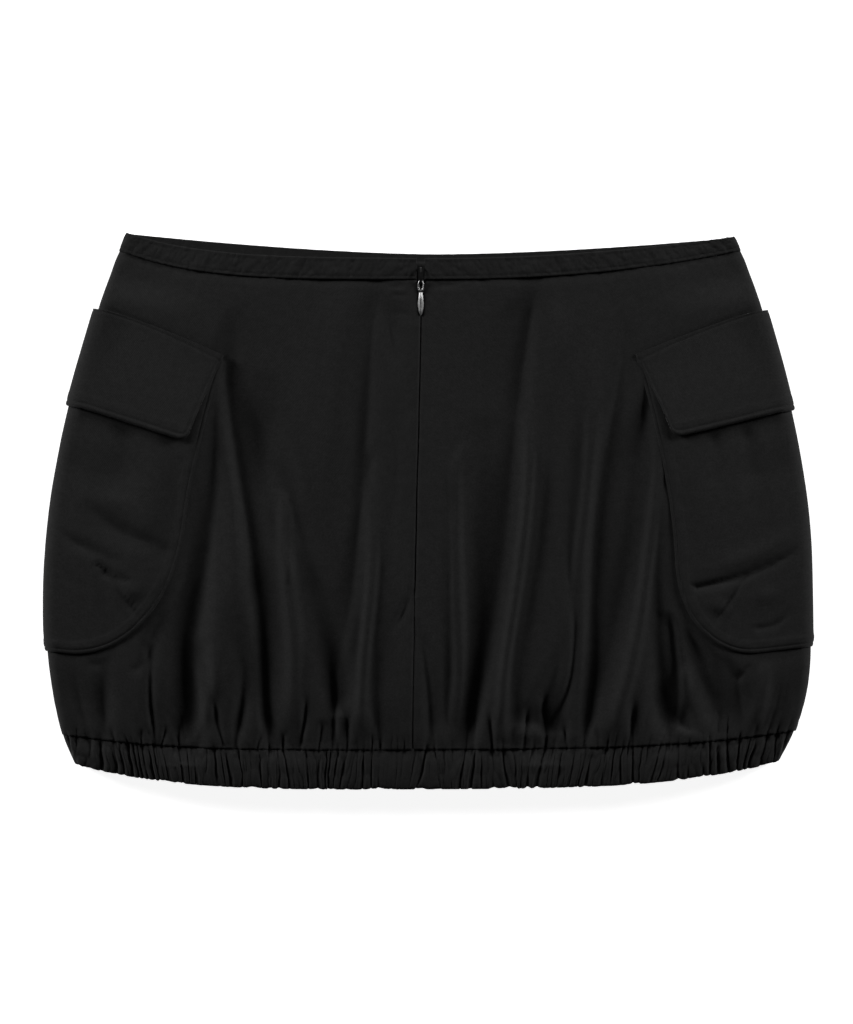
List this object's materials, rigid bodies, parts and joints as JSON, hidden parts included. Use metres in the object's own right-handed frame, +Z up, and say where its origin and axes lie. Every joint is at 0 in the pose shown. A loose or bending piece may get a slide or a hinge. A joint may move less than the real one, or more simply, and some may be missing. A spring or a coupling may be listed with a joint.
{
  "type": "balloon mini skirt laid flat",
  "caption": "Black cotton balloon mini skirt laid flat on its front: elastic gathered hem, narrow waistband, centre-back zip, flapped cargo pockets over the side seams",
  "frame": {"origin": "middle of the footprint, on the surface the skirt lies on", "axes": "+X towards the skirt's right edge as seen from above with the waist away from the viewer, +Y towards the waist, +Z up, out of the back"},
  "size_m": [0.4818, 0.3488, 0.0245],
  "materials": {
    "black_cotton": "matte black cotton twill with a faint sheen",
    "zip_tape": "matte black woven polyester tape",
    "zip_metal": "satin gunmetal"
  },
  "bodies": {
    "skirt": {"back_left": "black_cotton", "back_right": "black_cotton", "front": "black_cotton", "waistband_back_left": "black_cotton", "waistband_back_right": "black_cotton", "waistband_front": "black_cotton", "pocket_left": "black_cotton", "pocket_right": "black_cotton", "flap_left": "black_cotton", "flap_right": "black_cotton", "hem_casing": "black_cotton", "zip_tape": "zip_tape", "zip_slider": "zip_metal"},
    "pull": {"zip_pull": "zip_metal"}
  },
  "joints": [
    {"name": "pull_tab_swing", "type": "hinge", "parent": "skirt", "child": "pull", "pos_m": [-0.00445, 0.14352, 0.01707], "axis": [-1, 0, 0], "range_deg": [0, 140]}
  ]
}
